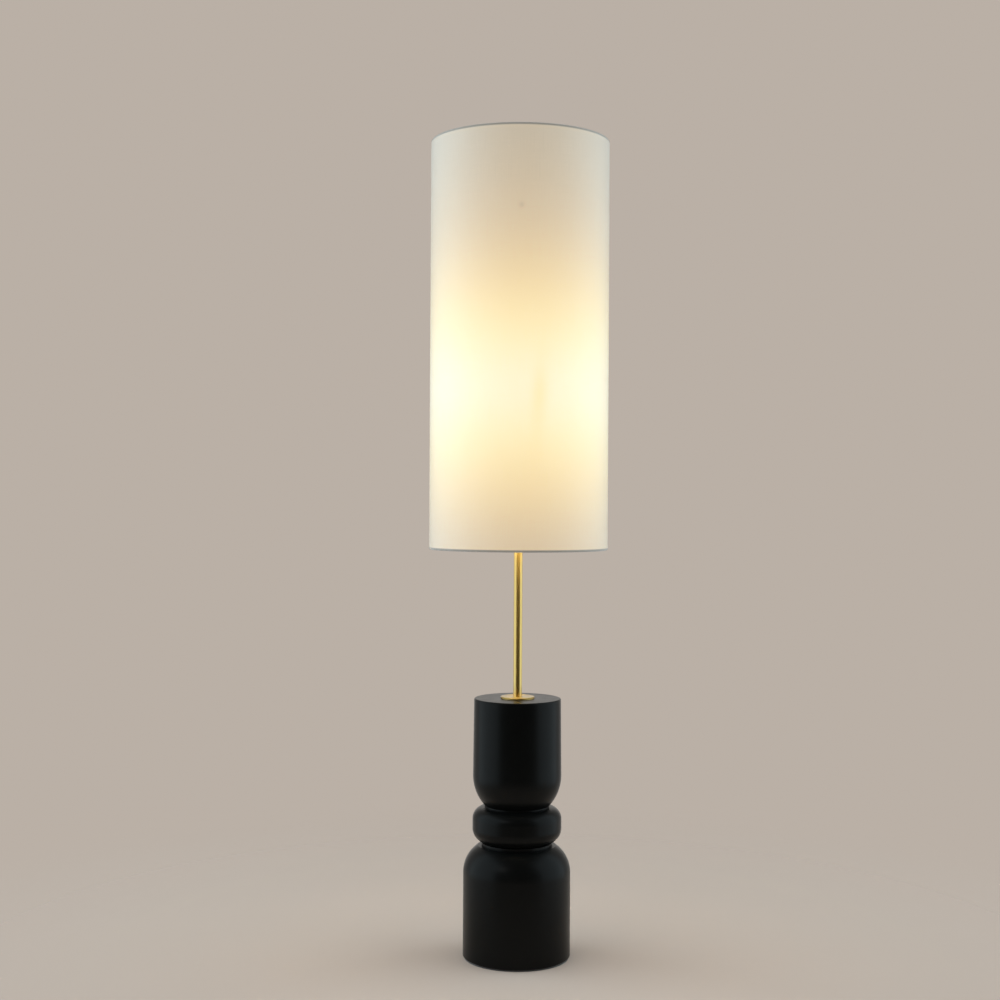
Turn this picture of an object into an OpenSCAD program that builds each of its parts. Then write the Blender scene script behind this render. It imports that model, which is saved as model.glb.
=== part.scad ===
// Column floor lamp: a turned black base in three pieces, a slim brass pole
// and a tall linen drum shade that hangs on a harp over one bulb.
// Millimetres, +Z up. The origin is the centre of the base's underside, on the floor.
// -Y is the front, and the cord inlet is at the back.

/* [Overall] */
// Height of the whole lamp, up to the top of the shade
lamp_h = 1200; // [1150:1:1250]
// Height of the base, up to its flat top
base_h = 381; // [372:1:390]
// Height of the harp saddle above the lower edge of the shade
saddle_above_hem = 120; // [100:1:130]
// Turn of the harp about the pole, from straight left and right
harp_turn = -77; // [-90:1:90]

/* [Shade] */
// Outer diameter of the shade
shade_d = 263; // [240:1:290]
// Height of the shade
shade_h = 600; // [560:1:620]
// Thickness of the linen
cloth_t = 0.6; // [0.4:0.1:0.8]
// Thickness of the stiff liner behind the linen
liner_t = 1; // [0.8:0.1:1.4]
// Thickness of the wire in the shade's rings
ring_wire_d = 3.2; // [2.8:0.1:3.6]
// Thickness of the wire in the shade's arms
arm_wire_d = 2.8; // [2.2:0.1:3]
// Number of arms from the hub to the top ring
arm_count = 3; // [3:1:4]
// Diameter of the hub that sits on the harp
hub_d = 26; // [22:1:30]
// Radius of the bend where an arm turns up from the hub
arm_bend_r = 12; // [8:1:16]

/* [Base] */
// Diameter of the lower drum
low_d = 158; // [154:1:164]
// Height of the lower drum, up to the middle ring
low_h = 169; // [168:1:172]
// Height at which the round shoulder starts
shoulder_z = 125.5; // [123:0.5:129]
// Radius of the round shoulder
shoulder_r = 46; // [44:1:48]
// Diameter of the neck under the middle ring
low_neck_d = 104; // [92:1:106]
// Height of the neck under the middle ring
low_neck_h = 4.5; // [2:0.5:6]
// Diameter of the middle ring
mid_d = 131.2; // [124:0.2:136]
// Height of the middle ring
mid_h = 52; // [48:1:54]
// Radius of the middle ring's round lower edge
mid_edge_r = 21; // [16:0.5:24]
// Radius of the middle ring's round upper edge
mid_top_edge_r = 17; // [14:0.5:22]
// Diameter of the neck over the middle ring
up_neck_d = 95; // [88:1:98]
// Diameter of the upper drum where its round underside ends
up_d = 130.4; // [124:0.2:132]
// Diameter of the upper drum at its top
up_top_d = 128.2; // [122:0.2:130]
// Radius of the small round on the drums' other edges
edge_r = 2; // [1:0.5:3]

/* [Inside of the base] */
// Diameter of the recess for the counterweight
recess_d = 91; // [89:1:94]
// Height at which the recess ends
recess_top_z = 92; // [80:1:100]
// Diameter of the counterweight
weight_d = 88; // [80:1:90]
// Height of the counterweight's underside
weight_z = 22; // [20:1:26]
// Diameter of the cover plate
cover_d = 108; // [104:1:110]
// Thickness of the cover plate
cover_t = 2.5; // [2:0.5:3]
// Thickness of the felt ring
felt_t = 2; // [1:0.5:3]
// Width of the felt ring
felt_w = 20; // [14:1:20]
// Height of the cord inlet
inlet_z = 13; // [12.5:0.5:14]
// Diameter of the hole that the cord goes through
cord_hole_d = 8; // [6:0.5:8]

/* [Pole] */
// Outer diameter of the pole
pole_d = 13; // [12:0.5:16]
// Outer diameter of the hollow threaded rod inside the pole
rod_d = 10; // [9:0.5:10]
// Bore of the threaded rod
rod_bore_d = 7; // [6:0.5:7.5]
// Diameter of the flange on the base
flange_d = 50; // [44:1:56]
// Thickness of the flange
flange_t = 2.6; // [2:0.2:4]

/* [Harp] */
// Thickness of the harp's wire
harp_wire_d = 3.2; // [3:0.1:3.4]
// Distance between the harp's legs where they enter the sleeves
leg_gap = 48; // [46:1:50]
// Greatest width of the harp, between the middles of its wire
harp_w = 112; // [100:1:120]
// Height of the harp above the saddle
harp_h = 255; // [240:1:270]
// Travel of a locking sleeve
sleeve_travel = 12; // [10:1:12]

/* [Bulb and socket] */
// Diameter of the bulb
bulb_d = 60; // [55:1:64]
// Height of the bulb's widest place above the saddle
bulb_above_saddle = 113; // [110:1:118]
// Diameter of the bulb's screw base
screw_d = 26.4; // [26:0.1:26.6]
// Length of the switch knob
knob_len = 17; // [14:1:20]
// Number of flutes round the switch knob
knob_flutes = 12; // [8:1:16]

/* [Hidden] */
// Smoothness of round surfaces
$fn = 96;
// Play between pieces that only touch, and of a shaft that turns in a hole
gap = 0.05;
run = 0.07;

low_r = low_d / 2;
mid_r = mid_d / 2;
up_r = up_d / 2;
rod_r = rod_d / 2;
pole_r = pole_d / 2;
shade_r = shade_d / 2;
mid_top = low_h + mid_h;
// Height of the middle of the ball that forms the upper drum's underside
ball_z = mid_top + up_r * 0.72;

hem_z = lamp_h - shade_h;
seat_z = hem_z + saddle_above_hem;
wire_r = ring_wire_d / 2;
liner_r = shade_r - cloth_t;
ring_r = liner_r - liner_t - wire_r - gap;
top_ring_z = lamp_h - cloth_t - wire_r;
low_ring_z = hem_z + cloth_t + wire_r;

saddle_t = 1.6;
saddle_w = 10;
saddle_bend_r = 6;
prong_d = 3;
arm_top_z = seat_z + 33;
joint_z = arm_top_z + 9;
sleeve_z = arm_top_z + 0.2;
sleeve_len = 16;
sleeve_d = 6.4;
leg_x = leg_gap / 2;
leg_top_z = sleeve_z + sleeve_len + sleeve_travel + 1;
harp_top_z = seat_z + harp_h;
harp_mid_z = leg_top_z + 88;
// Radius and angle of the two equal bends that widen the harp
flare_dx = (harp_w - leg_gap) / 2;
flare_dz = harp_mid_z - leg_top_z;
flare_a = 2 * atan(flare_dx / flare_dz);
flare_r = flare_dz / (2 * sin(flare_a));
// Long upper bend and tight corner that close the harp over the bulb
corner_r = 28;
flat_half = 4;
close_dx = harp_w / 2 - flat_half;
close_dz = harp_top_z - harp_mid_z;
long_r = (pow(close_dz - corner_r, 2) + pow(close_dx, 2) - pow(corner_r, 2))
    / (2 * (close_dx - corner_r));
long_a = asin((close_dz - corner_r) / (long_r - corner_r));

collar_d = 10;
collar_top_z = harp_top_z + 5;
stud_r = 3.15;
stud_top_z = collar_top_z + 20;
hub_z = collar_top_z + 0.3;
hub_t = 1.8;
finial_z = hub_z + hub_t + 0.3;
finial_ball_r = 8;
finial_ball_z = finial_z + 14;
finial_h = 22.5;

cap_z = seat_z + saddle_t;
cap_dome_z = cap_z + 6.4;
cap_r = 17.2;
cap_wall = 0.8;
cap_top_z = cap_z + 24.4;
shell_r = 17.2;
shell_wall = 0.7;
shell_z = cap_top_z - 6;
shell_top_z = cap_z + 61;
sleeve_r = 15.4;
switch_r = 13.2;
switch_z = cap_z + 11.5;
switch_top_z = cap_z + 34.4;
knob_z = cap_top_z + 6;
shaft_r = 1.6;
knob_r = 5.5;
knob_y = shell_r + 3;
contact_z = switch_top_z + 1.5;
bulb_z = seat_z + bulb_above_saddle;
bulb_r = bulb_d / 2;
base_top_z = cap_z + 61.4;
glass_t = 1;
// Fillet between the bulb's globe and its neck
neck_r = 14.5;
neck_fillet_r = 45;
neck_z = bulb_z - sqrt(pow(bulb_r + neck_fillet_r, 2) - pow(neck_r + neck_fillet_r, 2));

screw_count = 4;
cover_screw_r = cover_d / 2 - 4.5;

// ---- shapes that repeat ----

// Rectangle of a turned profile, from radius r0 to r1 and from height z0 to z1
module band(r0, r1, z0, z1) {
    translate([r0, z0])
        square([r1 - r0, z1 - z0]);
}

// Quarter of a circle for a rounded lower or upper edge, with a little more
// on its two straight sides to join it to what it rounds
module quarter_round(r, upper) {
    lap = min(0.5, r / 2);
    intersection() {
        circle(r = r);
        band(-lap, r, upper ? -lap : -r, upper ? r : lap);
    }
}

// Half profile of a turned disc with its lower edge rounded by e0 and its upper by e1
module turned_disc(r, z0, z1, e0 = 0, e1 = 0) {
    band(0, r, z0 + e0, z1 - e1);
    if (e0 > 0) {
        band(0, r - e0, z0, z1 - e1);
        translate([r - e0, z0 + e0])
            quarter_round(e0, false);
    }
    if (e1 > 0) {
        band(0, r - e1, z0 + e0, z1);
        translate([r - e1, z1 - e1])
            quarter_round(e1, true);
    }
}

// Half profile limited to the side of the axis where it can be turned
module right_side(z0, z1) {
    intersection() {
        band(0, 400, z0, z1);
        children();
    }
}

module tube(r0, r1, z0, z1) {
    rotate_extrude()
        band(r0, r1, z0, z1);
}

module hole_up(r, z0, z1) {
    translate([0, 0, z0])
        cylinder(r = r, h = z1 - z0);
}

// Wire that starts at the origin along +Z. A step is [length, 0] for a straight
// run, or [radius, angle] for a bend towards +X, or towards -X if the angle is negative.
// A ball a hair thicker than the wire joins each step to the next
module wire_run(steps, d, i = 0) {
    $fn = 48;
    if (i > 0)
        sphere(d = d + 2 * gap);
    if (i < len(steps)) {
        size = steps[i][0];
        bend = steps[i][1];
        side = bend < 0 ? 180 : 0;
        turn = abs(bend);
        if (turn == 0) {
            cylinder(d = d, h = size);
            translate([0, 0, size])
                wire_run(steps, d, i + 1);
        } else {
            rotate([0, 0, side]) {
                translate([size, 0, 0])
                    rotate([90, 0, 180])
                        rotate_extrude(angle = turn)
                            translate([size, 0])
                                circle(d = d);
                translate([size * (1 - cos(turn)), 0, size * sin(turn)])
                    rotate([0, turn, 0])
                        rotate([0, 0, -side])
                            wire_run(steps, d, i + 1);
            }
        }
    }
}

module around(count, start = 0) {
    for (i = [0:count - 1])
        rotate([0, 0, start + i * 360 / count])
            children();
}

module at_harp() {
    rotate([0, 0, harp_turn])
        children();
}

// ---- base ----

module felt_ring() {
    color("dimgray")
        tube(low_r - edge_r - felt_w, low_r - edge_r, 0, felt_t);
}

module cover_screw_places() {
    around(screw_count, 45)
        translate([cover_screw_r, 0, felt_t])
            children();
}

module base_cover() {
    color("silver")
        difference() {
            hole_up(cover_d / 2, felt_t, felt_t + cover_t);
            cover_screw_places() {
                translate([0, 0, -0.01])
                    cylinder(r1 = 3.46, r2 = 1.76, h = 1.7);
                cylinder(r = 1.76, h = 10);
            }
        }
}

module cover_screws() {
    color("gainsboro")
        cover_screw_places()
            difference() {
                union() {
                    cylinder(r1 = 3.4, r2 = 1.7, h = 1.7);
                    cylinder(r = 1.7, h = 14);
                }
                for (a = [0, 90])
                    rotate([0, 0, a])
                        translate([-1.8, -0.4, -1])
                            cube([3.6, 0.8, 1.8]);
            }
}

module lower_profile() {
    neck_z0 = low_h - low_neck_h;
    turned_disc(low_r, felt_t, shoulder_z, edge_r, 0);
    right_side(shoulder_z - 0.01, neck_z0)
        union() {
            translate([low_r - shoulder_r, shoulder_z])
                circle(r = shoulder_r);
            band(0, low_r - shoulder_r, shoulder_z - 0.01, neck_z0);
        }
    band(0, low_neck_d / 2, neck_z0 - 0.01, low_h);
}

module lower_drum() {
    color("black")
        difference() {
            rotate_extrude()
                lower_profile();
            hole_up(cover_d / 2 + 0.3, 0, felt_t + cover_t);
            hole_up(recess_d / 2, 0, recess_top_z);
            hole_up(rod_r + 0.2, 0, low_h + 1);
            cover_screw_places()
                cylinder(r = 1.75, h = 14.5);
            translate([0, 0, inlet_z])
                rotate([-90, 0, 0]) {
                    translate([0, 0, 20])
                        cylinder(r = 5, h = low_r);
                    translate([0, 0, low_r - 17.2])
                        cylinder(r = 6 + gap, h = 30);
                    translate([0, 0, low_r - 3.2])
                        cylinder(r = 8.5, h = 30);
                }
        }
}

module cord_bushing() {
    color("dimgray")
        translate([0, 0, inlet_z])
            rotate([-90, 0, 0])
                difference() {
                    union() {
                        translate([0, 0, low_r - 17])
                            cylinder(r = 6, h = 15);
                        translate([0, 0, low_r - 3.2])
                            cylinder(r = 8.2, h = 1.6);
                        translate([0, 0, low_r - 1.6])
                            cylinder(r1 = 8.2, r2 = 6.6, h = 1);
                    }
                    cylinder(d = cord_hole_d, h = low_r + 10);
                }
}

module counterweight() {
    chamfer = 2;
    r = weight_d / 2;
    top = recess_top_z;
    color("slategray")
        rotate_extrude()
            polygon([
                [rod_r + 0.3, weight_z], [r - chamfer, weight_z], [r, weight_z + chamfer],
                [r, top - chamfer], [r - chamfer, top], [rod_r + 0.3, top]
            ]);
}

module bottom_washer() {
    color("silver")
        tube(rod_r + gap, 20, weight_z - 2.5, weight_z);
}

module lock_washer() {
    color("gainsboro")
        translate([0, 0, weight_z - 4.5])
            rotate_extrude(angle = 350)
                band(rod_r + gap, 8.6, 0, 2);
}

module bottom_nut() {
    across_corners = 17 / cos(30);
    color("silver")
        difference() {
            translate([0, 0, weight_z - 12.5])
                cylinder(d = across_corners, h = 8, $fn = 6);
            hole_up(rod_r + gap, 0, weight_z);
        }
}

module middle_ring() {
    color("black")
        difference() {
            rotate_extrude()
                turned_disc(mid_r, low_h, mid_top, mid_edge_r, mid_top_edge_r);
            hole_up(rod_r + 0.2, low_h - 1, mid_top + 1);
        }
}

module upper_profile() {
    top_r = up_top_d / 2;
    band(0, up_neck_d / 2, mid_top, ball_z + 10);
    right_side(mid_top, ball_z)
        translate([0, ball_z])
            circle(r = up_r);
    polygon([[0, ball_z], [up_r, ball_z], [top_r, base_h - edge_r], [0, base_h - edge_r]]);
    turned_disc(top_r, base_h - 2 * edge_r, base_h, 0, edge_r);
}

module upper_drum() {
    color("black")
        difference() {
            rotate_extrude()
                upper_profile();
            hole_up(rod_r + 0.2, mid_top - 1, base_h + 1);
        }
}

// ---- pole ----

module threaded_rod() {
    color("silver")
        tube(rod_bore_d / 2, rod_r, weight_z - 14, cap_dome_z + 0.6);
}

module top_flange() {
    bevel = 0.6;
    r = flange_d / 2;
    top = base_h + flange_t;
    color("gold")
        rotate_extrude()
            polygon([
                [rod_r + gap, base_h], [r, base_h], [r, top - bevel],
                [r - bevel, top], [rod_r + gap, top]
            ]);
}

module pole_tube() {
    color("gold")
        tube(pole_r - 1, pole_r, base_h + flange_t, seat_z);
}

// ---- harp ----

// Bent strip of the saddle, seen from the side
module saddle_outline() {
    inner_r = saddle_bend_r - saddle_t;
    flat_x = leg_x + saddle_t / 2 - saddle_bend_r;
    translate([-flat_x, 0])
        square([2 * flat_x, saddle_t]);
    for (side = [0, 1])
        mirror([side, 0]) {
            translate([flat_x, saddle_bend_r])
                difference() {
                    circle(r = saddle_bend_r);
                    circle(r = inner_r);
                    translate([-saddle_bend_r - 1, 0])
                        square([2 * saddle_bend_r + 2, saddle_bend_r + 1]);
                    translate([-saddle_bend_r - 1, -saddle_bend_r - 1])
                        square([saddle_bend_r + 1, saddle_bend_r + 2]);
                }
            translate([leg_x - saddle_t / 2, saddle_bend_r])
                square([saddle_t, arm_top_z - seat_z - saddle_bend_r]);
        }
}

module harp_saddle() {
    color("silver")
        at_harp() {
            difference() {
                union() {
                    translate([0, 0, seat_z])
                        rotate([90, 0, 0])
                            linear_extrude(height = saddle_w, center = true)
                                saddle_outline();
                    translate([0, 0, seat_z])
                        cylinder(d = 22, h = saddle_t);
                }
                hole_up(rod_r + gap, seat_z - 1, seat_z + saddle_t + 1);
            }
            for (x = [-leg_x, leg_x])
                translate([x, 0, arm_top_z])
                    cylinder(d = prong_d, h = joint_z - arm_top_z);
        }
}

module harp() {
    half = [
        [leg_top_z - joint_z, 0], [flare_r, flare_a], [flare_r, -flare_a],
        [long_r, -long_a], [corner_r, long_a - 90], [flat_half, 0]
    ];
    color("goldenrod")
        at_harp()
            around(2)
                translate([leg_x, 0, joint_z])
                    wire_run(half, harp_wire_d);
}

module harp_sleeve(x) {
    color("goldenrod")
        at_harp()
            translate([x, 0, 0])
                difference() {
                    rotate_extrude()
                        turned_disc(sleeve_d / 2, sleeve_z, sleeve_z + sleeve_len, 0.6, 1.2);
                    hole_up(harp_wire_d / 2 + run, sleeve_z - 1, sleeve_z + sleeve_len + 1);
                }
}

module sleeve_front() {
    harp_sleeve(leg_x);
}

module sleeve_back() {
    harp_sleeve(-leg_x);
}

module harp_stud() {
    color("goldenrod")
        difference() {
            union() {
                rotate_extrude()
                    turned_disc(collar_d / 2, harp_top_z - 4, collar_top_z, 1.5, 0.5);
                hole_up(stud_r, collar_top_z, stud_top_z);
            }
            at_harp()
                translate([0, 0, harp_top_z])
                    rotate([0, 90, 0])
                        cylinder(d = harp_wire_d + 4 * gap, h = 30, center = true);
        }
}

// ---- socket ----

module socket_cap() {
    color("goldenrod")
        difference() {
            rotate_extrude()
                union() {
                    difference() {
                        turned_disc(cap_r, cap_dome_z, cap_top_z, 10, 0);
                        turned_disc(cap_r - cap_wall, cap_dome_z + cap_wall, cap_top_z + 1, 9.2, 0);
                    }
                    band(0, 8, cap_z, cap_dome_z + cap_wall / 2);
                }
            hole_up(rod_r + gap, cap_z - 1, cap_top_z);
            at_harp()
                translate([0, 0, cap_z + 3.2])
                    rotate([90, 0, 0])
                        cylinder(r = 1.5 + gap, h = 20);
        }
}

module cap_screw() {
    color("silver")
        at_harp()
            translate([0, -rod_r - gap, cap_z + 3.2])
                rotate([90, 0, 0])
                    difference() {
                        cylinder(r = 1.5, h = 4);
                        translate([-2, -0.3, 3])
                            cube([4, 0.6, 2]);
                    }
}

module socket_shell() {
    r_in = cap_r - cap_wall - gap;
    color("goldenrod")
        difference() {
            rotate_extrude()
                union() {
                    band(r_in - shell_wall, r_in, shell_z, cap_top_z + 1);
                    band(r_in - shell_wall, shell_r, cap_top_z + gap, cap_top_z + 1);
                    band(shell_r - shell_wall, shell_r, cap_top_z + gap, shell_top_z - 1);
                    translate([shell_r, shell_top_z - 1.1])
                        circle(r = 1.1);
                }
            at_harp()
                translate([0, 0, knob_z])
                    rotate([-90, 0, 0])
                        cylinder(r = shaft_r + 0.8, h = 30);
        }
}

module socket_sleeve() {
    color("peru")
        difference() {
            tube(sleeve_r - 0.7, sleeve_r, shell_z + 1, shell_top_z - 2);
            at_harp()
                translate([0, 0, knob_z])
                    rotate([-90, 0, 0])
                        cylinder(r = shaft_r + 0.8, h = 30);
        }
}

module switch_body() {
    flat_x = 11.4;
    color("ivory")
        at_harp()
            difference() {
                hole_up(switch_r, switch_z, switch_top_z);
                for (side = [0, 1])
                    mirror([side, 0, 0])
                        translate([flat_x, -switch_r, switch_z - 1])
                            cube([switch_r, 2 * switch_r, 14]);
                translate([0, 3, knob_z])
                    rotate([-90, 0, 0])
                        cylinder(r = shaft_r + run, h = 30);
                for (x = [-flat_x, flat_x])
                    translate([x, 0, switch_z + 6])
                        rotate([0, 90, 0])
                            cylinder(r = 1.5 + gap, h = 12, center = true);
            }
}

module terminal_screws() {
    flat_x = 11.4;
    color("goldenrod")
        at_harp()
            for (side = [0, 1])
                mirror([side, 0, 0])
                    translate([flat_x, 0, switch_z + 6])
                        rotate([0, 90, 0])
                            difference() {
                                union() {
                                    cylinder(r = 3, h = 1.6);
                                    translate([0, 0, -5])
                                        cylinder(r = 1.5, h = 5.2);
                                }
                                translate([-4, -0.3, 1])
                                    cube([8, 0.6, 2]);
                            }
}

module screw_shell() {
    r_in = screw_d / 2 + run;
    color("goldenrod")
        rotate_extrude()
            union() {
                band(r_in, r_in + 0.5, switch_top_z, shell_top_z - 3);
                band(5, r_in + 0.5, switch_top_z, switch_top_z + 0.6);
            }
}

module centre_contact() {
    color("goldenrod")
        at_harp() {
            hole_up(1.4, switch_top_z, contact_z - 0.5);
            translate([-4, -1.6, contact_z - 0.6])
                cube([7, 3.2, 0.4]);
        }
}

module switch_shaft() {
    color("silver")
        at_harp()
            translate([0, 4, knob_z])
                rotate([-90, 0, 0])
                    cylinder(r = shaft_r, h = knob_y + 6 - 4);
}

module switch_knob() {
    color("black")
        at_harp()
            translate([0, knob_y, knob_z])
                rotate([-90, 0, 0])
                    difference() {
                        union() {
                            cylinder(r = knob_r + 0.8, h = 2);
                            cylinder(r = knob_r, h = knob_len - 0.8);
                            translate([0, 0, knob_len - 0.8])
                                cylinder(r1 = knob_r, r2 = knob_r - 0.8, h = 0.8);
                        }
                        translate([0, 0, -1])
                            cylinder(r = shaft_r, h = 7);
                        around(knob_flutes)
                            translate([knob_r + 0.35, 0, 3.5])
                                cylinder(r = 0.9, h = knob_len);
                    }
}

// ---- bulb ----

// Half profile of the bulb's envelope, made thinner all over by t
module envelope_profile(t) {
    fillet_x = neck_r + neck_fillet_r;
    meet_z = bulb_z - (bulb_z - neck_z) * bulb_r / (bulb_r + neck_fillet_r);
    right_side(base_top_z - 1, bulb_z + bulb_r) {
        union() {
            translate([0, bulb_z])
                circle(r = bulb_r - t);
            difference() {
                band(0, bulb_r * fillet_x / (bulb_r + neck_fillet_r), neck_z, meet_z);
                translate([fillet_x, neck_z])
                    circle(r = neck_fillet_r + t);
            }
            band(0, neck_r - t, base_top_z, neck_z + 0.01);
        }
    }
}

module bulb_glass() {
    color("ivory")
        rotate_extrude()
            difference() {
                envelope_profile(0);
                envelope_profile(glass_t);
                band(0, neck_r - glass_t, base_top_z - 2, neck_z);
            }
}

module bulb_base() {
    r = screw_d / 2;
    low = contact_z + 5;
    pitch = 3.629;
    turns = 4;
    color("silver")
        rotate_extrude()
            difference() {
                union() {
                    band(0, r - 0.9, low, base_top_z - 0.3);
                    for (i = [0:turns - 1])
                        translate([r - 0.9, low + 3 + i * pitch])
                            circle(r = 0.9);
                    turned_disc(neck_r, base_top_z - 1.3, base_top_z, 0.3, 0);
                }
                band(0, r - 1.5, low - 1, base_top_z + 1);
            }
}

module bulb_insulator() {
    low = contact_z + 1.6;
    color("black")
        rotate_extrude()
            polygon([[2, low], [4.4, low], [screw_d / 2 - 1.5, contact_z + 5], [2, contact_z + 5]]);
}

module bulb_contact() {
    color("silver")
        rotate_extrude()
            turned_disc(3.6, contact_z, contact_z + 1.5, 0.7, 0);
}

module bulb_stem() {
    color("whitesmoke")
        rotate_extrude()
            union() {
                band(0, screw_d / 2 - 1.6, base_top_z - 6, base_top_z - 4);
                band(0, 3, base_top_z - 4, bulb_z + 12);
                turned_disc(6, bulb_z - 20, bulb_z - 17, 1, 1);
            }
}

module bulb_filaments() {
    color("yellow")
        around(4, 45)
            translate([9, 0, bulb_z - 16])
                cylinder(r = 1, h = 30);
}

// ---- shade ----

// Arms that run out flat from the hub, bend up and rise straight to the top ring
module arm_wires(d) {
    flat = 8;
    start_r = hub_d / 2 - 4;
    dx = ring_r - start_r - flat;
    start_z = hub_z - arm_wire_d / 2 + 0.5;
    dz = top_ring_z - start_z - arm_bend_r;
    span = sqrt(dx * dx + dz * dz);
    turn = atan2(dz, dx) + asin(arm_bend_r / span);
    rise = sqrt(span * span - arm_bend_r * arm_bend_r);
    around(arm_count, 90)
        translate([start_r, 0, start_z])
            rotate([0, 90, 0])
                wire_run([[flat, 0], [arm_bend_r, -turn], [rise - 0.3, 0]], d);
}

// Hub plate, with a seat in its underside for each arm that is welded there
module shade_hub() {
    color("gainsboro")
        difference() {
            tube(stud_r + run, hub_d / 2, hub_z, hub_z + hub_t);
            arm_wires(arm_wire_d + 2 * gap);
        }
}

// Arms whose upper ends are cut hollow to fit the top ring
module shade_arms() {
    color("gainsboro")
        difference() {
            arm_wires(arm_wire_d);
            rotate_extrude()
                translate([ring_r, top_ring_z])
                    circle(r = wire_r + gap);
        }
}

module wire_ring(z) {
    color("gainsboro")
        rotate_extrude()
            translate([ring_r, z])
                circle(r = wire_r);
}

module top_ring() {
    wire_ring(top_ring_z);
}

module bottom_ring() {
    wire_ring(low_ring_z);
}

module shade_liner() {
    color("white")
        tube(liner_r - liner_t, liner_r - gap, low_ring_z, top_ring_z);
}

// Linen rolled over a wire ring, and tucked in behind it
module hem_profile() {
    r = wire_r + cloth_t;
    translate([ring_r, 0])
        circle(r = r);
    translate([ring_r, 0])
        square([shade_r - ring_r - r, r]);
    translate([shade_r - r, 0])
        circle(r = r);
}

module fabric_profile() {
    difference() {
        union() {
            band(liner_r, shade_r, low_ring_z, top_ring_z);
            translate([0, top_ring_z])
                hem_profile();
            translate([0, low_ring_z])
                mirror([0, 1])
                    hem_profile();
        }
        for (z = [low_ring_z, top_ring_z])
            translate([ring_r, z])
                circle(r = wire_r + gap);
        band(liner_r - liner_t - gap, liner_r, low_ring_z - gap, top_ring_z + gap);
    }
}

module shade_fabric() {
    color("white")
        difference() {
            rotate_extrude()
                fabric_profile();
            arm_wires(arm_wire_d + 0.4);
        }
}

module finial() {
    color("gold")
        difference() {
            rotate_extrude()
                union() {
                    turned_disc(7, finial_z, finial_z + 2.4, 0.5, 1.2);
                    band(0, 4.6, finial_z + 2, finial_ball_z);
                    right_side(finial_z, finial_z + finial_h)
                        translate([0, finial_ball_z])
                            circle(r = finial_ball_r);
                }
            hole_up(stud_r + run, finial_z - 1, stud_top_z + 1);
        }
}

felt_ring();
base_cover();
cover_screws();
lower_drum();
cord_bushing();
counterweight();
bottom_washer();
lock_washer();
bottom_nut();
middle_ring();
upper_drum();
threaded_rod();
top_flange();
pole_tube();
harp_saddle();
harp();
sleeve_front();
sleeve_back();
harp_stud();
socket_cap();
cap_screw();
socket_shell();
socket_sleeve();
switch_body();
terminal_screws();
screw_shell();
centre_contact();
switch_shaft();
switch_knob();
bulb_glass();
bulb_base();
bulb_insulator();
bulb_contact();
bulb_stem();
bulb_filaments();
shade_hub();
shade_arms();
top_ring();
bottom_ring();
shade_liner();
shade_fabric();
finial();
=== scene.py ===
import math

import bmesh
import bpy
from mathutils import Euler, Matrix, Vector


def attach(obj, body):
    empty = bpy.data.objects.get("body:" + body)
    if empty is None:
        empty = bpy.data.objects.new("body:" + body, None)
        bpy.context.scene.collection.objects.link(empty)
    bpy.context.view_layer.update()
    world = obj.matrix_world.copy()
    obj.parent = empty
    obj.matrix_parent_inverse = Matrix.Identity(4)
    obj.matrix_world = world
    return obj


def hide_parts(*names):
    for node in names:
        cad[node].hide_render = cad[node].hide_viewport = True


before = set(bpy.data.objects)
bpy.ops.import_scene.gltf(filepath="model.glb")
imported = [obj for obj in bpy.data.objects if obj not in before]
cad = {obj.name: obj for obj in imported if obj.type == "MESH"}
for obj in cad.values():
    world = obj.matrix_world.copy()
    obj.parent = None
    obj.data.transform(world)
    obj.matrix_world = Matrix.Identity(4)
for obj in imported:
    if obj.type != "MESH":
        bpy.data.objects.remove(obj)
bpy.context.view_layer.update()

# ---- sizes and heights on the lamp in metres, and the seam's angle in radians ----

SHADE_R = 0.1315
SHADE_LOW = 0.600
SHADE_TOP = 1.200
CLOTH = 0.0006
WIRE_R = 0.0016
RING_R = 0.12825
BULB_Z = 0.833
GLOW_Z = BULB_Z - 0.002
SEAM_TURN = math.pi / 2
LAP_SHIFT = 0.3
TUCK = 0.012
SCREW_R = 0.0132
SCREW_PITCH = 0.003629
SCREW_DEPTH = 0.0005
DOT_PITCH = 0.0012

# ---- marks on the linen: threads, folded edges darkened as painted shade, a painted brighter band by each fold, a speck and the harp leg's painted shadow ----
# Places and widths are in metres, the lean is metres across for each metre up.

THREAD_PITCH = 0.00085
FOLD_DARK = 0.0024
FOLD_LIT = 0.0042
# How far in from each edge a painted brighter band of glow lies.
BRIGHT_BAND_FROM_EDGE = 0.0058
SPECK_ACROSS = 0.0022
SPECK_UP = 1.0846
LEG_FRONT = 0.0285
LEG_REAR = 0.030
LEG_LEAN = 0.065
LEG_Z = 0.82
LEG_BLUR = 0.0115
LEG_SHADOW = (1.0, 0.75, 0.0, 1.0)
LINEN = (0.735, 0.728, 0.715, 1.0)
# The rolled edges are coloured darker grey than the wall: painted shade where the rolled
# edge gets little light.
SHADED_EDGE_LINEN = (0.460, 0.415, 0.380, 1.0)

# ---- limits for the meshes: an angle in radians, a share of a row, a distance ----

SHARP_EDGE = 0.55
ROUNDING = 0.0001
MERGE = 0.000002


# ---- node trees written as expressions ----


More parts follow.
